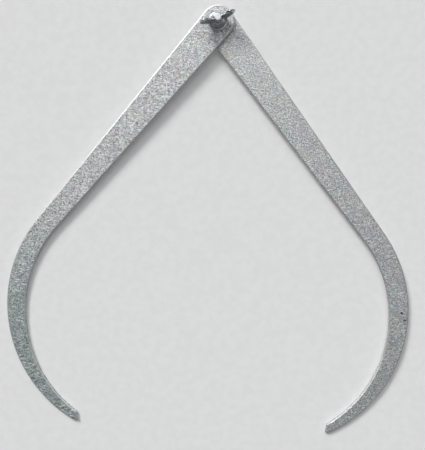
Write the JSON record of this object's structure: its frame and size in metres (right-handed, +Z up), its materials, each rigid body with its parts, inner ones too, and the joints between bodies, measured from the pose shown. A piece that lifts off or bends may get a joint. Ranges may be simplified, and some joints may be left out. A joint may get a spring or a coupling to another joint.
{
  "type": "measuring caliper",
  "caption": "Outside caliper with flat bow legs on a wing-nut pivot, for taking the width of round or thick work.",
  "frame": {"origin": "on the pivot axis, at the lowest point of the bolt's head, which is what the pivot end rests on", "axes": "+Z up the bolt towards the wing nut; +Y from the tips towards the pivot, along the middle of the opening; the rear leg is on +X and the front leg on -X"},
  "size_m": [0.2326, 0.2434, 0.0183],
  "materials": {
    "leg_aluminium": "tumbled, matt",
    "plated_steel": "bright zinc plate"
  },
  "bodies": {
    "lower_leg": {"rear_leg": "leg_aluminium"},
    "upper_leg": {"front_leg": "leg_aluminium", "flat_washer": "plated_steel"},
    "bolt": {"pivot_bolt": "plated_steel"},
    "nut": {"wing_nut": "plated_steel"}
  },
  "joints": [
    {"name": "leg_pivot", "type": "hinge", "parent": "lower_leg", "child": "upper_leg", "pos_m": [0, 0, 0.00455], "axis": [0, 0, 1], "continuous": true},
    {"name": "nut_turn", "type": "hinge", "parent": "lower_leg", "child": "nut", "pos_m": [0, 0, 0.0078], "axis": [0, 0, 1], "range_deg": [0, 540]},
    {"name": "bolt_travel", "type": "slide", "parent": "lower_leg", "child": "bolt", "axis": [0, 0, 1], "range_m": [-0.0016, 0]}
  ],
  "couplings": [
    {"joint": "bolt_travel", "follows": "nut_turn", "m_per_rad": -0.00016844}
  ]
}
